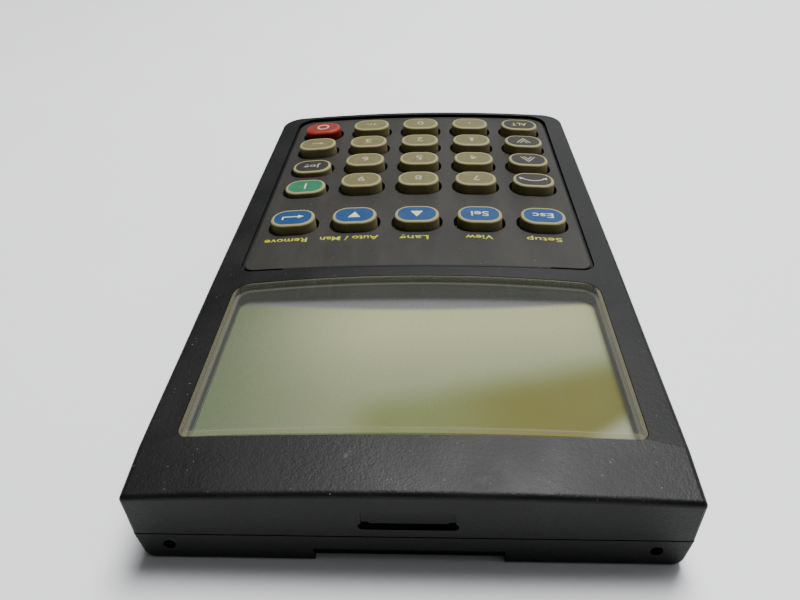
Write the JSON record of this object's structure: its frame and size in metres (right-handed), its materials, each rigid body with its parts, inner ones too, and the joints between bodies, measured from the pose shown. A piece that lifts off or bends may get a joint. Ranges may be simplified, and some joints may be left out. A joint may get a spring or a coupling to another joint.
{
  "type": "handheld operator terminal",
  "caption": "Flat handheld operator terminal: wide display under a crowned window, a field of rubber keys, cradle slot and notch at one end, round cable port at the other.",
  "frame": {"origin": "middle of the rear face, under the centre of the case", "axes": "+Z out of the face, +Y towards the display end (up as read), +X to the reader's right"},
  "size_m": [0.07, 0.1206, 0.0161],
  "materials": {
    "case_plastic": "charcoal, fine spark-eroded texture",
    "window": "clear moulded acrylic, lightly worn",
    "adhesive": "black foam tape",
    "bezel_metal": "black electro-coat, satin",
    "polarizer": "grey-green film",
    "lcd_glass": "thin display glass",
    "zebra_rubber": "layered conductive elastomer",
    "light_guide": "frosted acrylic",
    "diffuser": "white film",
    "led": "clear lens over yellow phosphor",
    "board": "green solder mask",
    "gold": "gold flash",
    "chip": "moulded epoxy",
    "crystal_can": "drawn can",
    "capacitor_can": "drawn can",
    "ceramic": "fired ceramic",
    "port_plastic": "black moulded insulator",
    "port_metal": "nickel plate",
    "silicone": "translucent silicone",
    "screw_steel": "zinc plate",
    "label": "silver-grey film, blank",
    "key_blue": "printed silicone, lacquered",
    "key_grey": "printed silicone, lacquered",
    "key_black": "printed silicone, lacquered",
    "key_green": "printed silicone, lacquered",
    "key_red": "printed silicone, lacquered"
  },
  "bodies": {
    "case": {"housing_front": "case_plastic", "housing_rear": "case_plastic", "display_window": "window", "window_gasket": "adhesive", "lcd_bezel": "bezel_metal", "lcd_polarizer": "polarizer", "lcd_front_glass": "lcd_glass", "lcd_rear_glass": "lcd_glass", "lcd_zebra_strips": "zebra_rubber", "lcd_light_guide": "light_guide", "lcd_diffuser": "diffuser", "lcd_backlight_leds": "led", "main_board": "board", "key_contacts": "gold", "microcontroller": "chip", "memory_chip": "chip", "transceiver_chip": "chip", "lcd_driver_chips": "chip", "crystal": "crystal_can", "regulator": "chip", "capacitors": "capacitor_can", "resistors": "ceramic", "port_socket": "port_plastic", "port_shield": "port_metal", "port_contacts": "gold", "keypad_mat": "silicone", "case_screws": "screw_steel", "board_screws": "screw_steel", "rear_label": "label"},
    "key_esc": {"key_esc": "key_blue"},
    "key_select": {"key_select": "key_blue"},
    "key_up": {"key_up": "key_blue"},
    "key_down": {"key_down": "key_blue"},
    "key_enter": {"key_enter": "key_blue"},
    "key_direction": {"key_direction": "key_black"},
    "key_7": {"key_7": "key_grey"},
    "key_8": {"key_8": "key_grey"},
    "key_9": {"key_9": "key_grey"},
    "key_start": {"key_start": "key_green"},
    "key_raise": {"key_raise": "key_black"},
    "key_4": {"key_4": "key_grey"},
    "key_5": {"key_5": "key_grey"},
    "key_6": {"key_6": "key_grey"},
    "key_jog": {"key_jog": "key_black"},
    "key_lower": {"key_lower": "key_black"},
    "key_1": {"key_1": "key_grey"},
    "key_2": {"key_2": "key_grey"},
    "key_3": {"key_3": "key_grey"},
    "key_back": {"key_back": "key_grey"},
    "key_alt": {"key_alt": "key_black"},
    "key_point": {"key_point": "key_grey"},
    "key_0": {"key_0": "key_grey"},
    "key_sign": {"key_sign": "key_grey"},
    "key_stop": {"key_stop": "key_red"}
  },
  "joints": [
    {"name": "key_esc_press", "type": "slide", "parent": "case", "child": "key_esc", "axis": [0, 0, -1], "range_m": [0, 0.0009], "stiffness_N_per_m": 120, "springref_m": -0.004},
    {"name": "key_select_press", "type": "slide", "parent": "case", "child": "key_select", "axis": [0, 0, -1], "range_m": [0, 0.0009], "stiffness_N_per_m": 120, "springref_m": -0.004},
    {"name": "key_up_press", "type": "slide", "parent": "case", "child": "key_up", "axis": [0, 0, -1], "range_m": [0, 0.0009], "stiffness_N_per_m": 120, "springref_m": -0.004},
    {"name": "key_down_press", "type": "slide", "parent": "case", "child": "key_down", "axis": [0, 0, -1], "range_m": [0, 0.0009], "stiffness_N_per_m": 120, "springref_m": -0.004},
    {"name": "key_enter_press", "type": "slide", "parent": "case", "child": "key_enter", "axis": [0, 0, -1], "range_m": [0, 0.0009], "stiffness_N_per_m": 120, "springref_m": -0.004},
    {"name": "key_direction_press", "type": "slide", "parent": "case", "child": "key_direction", "axis": [0, 0, -1], "range_m": [0, 0.0009], "stiffness_N_per_m": 120, "springref_m": -0.004},
    {"name": "key_7_press", "type": "slide", "parent": "case", "child": "key_7", "axis": [0, 0, -1], "range_m": [0, 0.0009], "stiffness_N_per_m": 120, "springref_m": -0.004},
    {"name": "key_8_press", "type": "slide", "parent": "case", "child": "key_8", "axis": [0, 0, -1], "range_m": [0, 0.0009], "stiffness_N_per_m": 120, "springref_m": -0.004},
    {"name": "key_9_press", "type": "slide", "parent": "case", "child": "key_9", "axis": [0, 0, -1], "range_m": [0, 0.0009], "stiffness_N_per_m": 120, "springref_m": -0.004},
    {"name": "key_start_press", "type": "slide", "parent": "case", "child": "key_start", "axis": [0, 0, -1], "range_m": [0, 0.0009], "stiffness_N_per_m": 120, "springref_m": -0.004},
    {"name": "key_raise_press", "type": "slide", "parent": "case", "child": "key_raise", "axis": [0, 0, -1], "range_m": [0, 0.0009], "stiffness_N_per_m": 120, "springref_m": -0.004},
    {"name": "key_4_press", "type": "slide", "parent": "case", "child": "key_4", "axis": [0, 0, -1], "range_m": [0, 0.0009], "stiffness_N_per_m": 120, "springref_m": -0.004},
    {"name": "key_5_press", "type": "slide", "parent": "case", "child": "key_5", "axis": [0, 0, -1], "range_m": [0, 0.0009], "stiffness_N_per_m": 120, "springref_m": -0.004},
    {"name": "key_6_press", "type": "slide", "parent": "case", "child": "key_6", "axis": [0, 0, -1], "range_m": [0, 0.0009], "stiffness_N_per_m": 120, "springref_m": -0.004},
    {"name": "key_jog_press", "type": "slide", "parent": "case", "child": "key_jog", "axis": [0, 0, -1], "range_m": [0, 0.0009], "stiffness_N_per_m": 120, "springref_m": -0.004},
    {"name": "key_lower_press", "type": "slide", "parent": "case", "child": "key_lower", "axis": [0, 0, -1], "range_m": [0, 0.0009], "stiffness_N_per_m": 120, "springref_m": -0.004},
    {"name": "key_1_press", "type": "slide", "parent": "case", "child": "key_1", "axis": [0, 0, -1], "range_m": [0, 0.0009], "stiffness_N_per_m": 120, "springref_m": -0.004},
    {"name": "key_2_press", "type": "slide", "parent": "case", "child": "key_2", "axis": [0, 0, -1], "range_m": [0, 0.0009], "stiffness_N_per_m": 120, "springref_m": -0.004},
    {"name": "key_3_press", "type": "slide", "parent": "case", "child": "key_3", "axis": [0, 0, -1], "range_m": [0, 0.0009], "stiffness_N_per_m": 120, "springref_m": -0.004},
    {"name": "key_back_press", "type": "slide", "parent": "case", "child": "key_back", "axis": [0, 0, -1], "range_m": [0, 0.0009], "stiffness_N_per_m": 120, "springref_m": -0.004},
    {"name": "key_alt_press", "type": "slide", "parent": "case", "child": "key_alt", "axis": [0, 0, -1], "range_m": [0, 0.0009], "stiffness_N_per_m": 120, "springref_m": -0.004},
    {"name": "key_point_press", "type": "slide", "parent": "case", "child": "key_point", "axis": [0, 0, -1], "range_m": [0, 0.0009], "stiffness_N_per_m": 120, "springref_m": -0.004},
    {"name": "key_0_press", "type": "slide", "parent": "case", "child": "key_0", "axis": [0, 0, -1], "range_m": [0, 0.0009], "stiffness_N_per_m": 120, "springref_m": -0.004},
    {"name": "key_sign_press", "type": "slide", "parent": "case", "child": "key_sign", "axis": [0, 0, -1], "range_m": [0, 0.0009], "stiffness_N_per_m": 120, "springref_m": -0.004},
    {"name": "key_stop_press", "type": "slide", "parent": "case", "child": "key_stop", "axis": [0, 0, -1], "range_m": [0, 0.0009], "stiffness_N_per_m": 120, "springref_m": -0.004}
  ]
}
